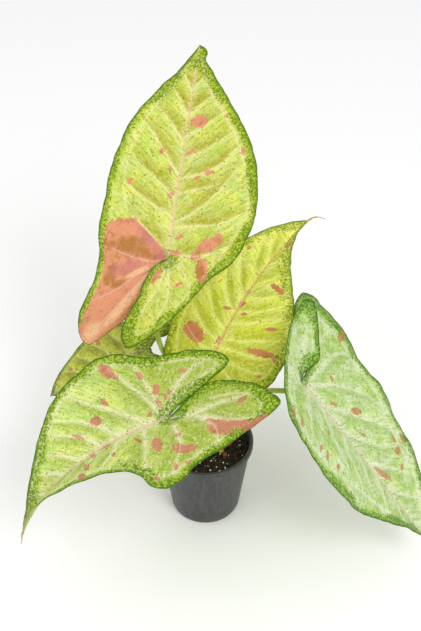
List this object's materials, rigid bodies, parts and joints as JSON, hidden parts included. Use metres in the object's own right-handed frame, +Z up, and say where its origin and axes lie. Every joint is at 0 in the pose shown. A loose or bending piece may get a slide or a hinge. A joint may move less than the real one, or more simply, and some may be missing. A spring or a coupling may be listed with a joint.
{
  "type": "potted syngonium",
  "caption": "Arrowhead-leaved house plant with pink-splashed green leaves on long petioles in a small nursery pot.",
  "frame": {"origin": "middle of the pot's flat base, on the surface it stands on", "axes": "+Z up, -Y towards the front of the plant"},
  "size_m": [0.2991, 0.2785, 0.3277],
  "materials": {
    "pot_plastic": "satin, dark grey thin moulded plastic",
    "potting_soil": "rough, near-black moist crumbs with white perlite",
    "stem": "satin, green living stem",
    "petiole": "satin, smooth fleshy leaf stalk",
    "leaf_blade": "soft satin leaf, pale veins, green speckles and salmon-pink splashes"
  },
  "bodies": {
    "root": {"pot": "pot_plastic", "soil": "potting_soil", "stem": "stem", "petiole_top": "petiole", "petiole_rear": "petiole", "petiole_front": "petiole", "petiole_right": "petiole", "petiole_left": "petiole", "blade_top": "leaf_blade", "blade_rear": "leaf_blade", "blade_front": "leaf_blade", "blade_right": "leaf_blade", "blade_left": "leaf_blade"}
  },
  "joints": []
}
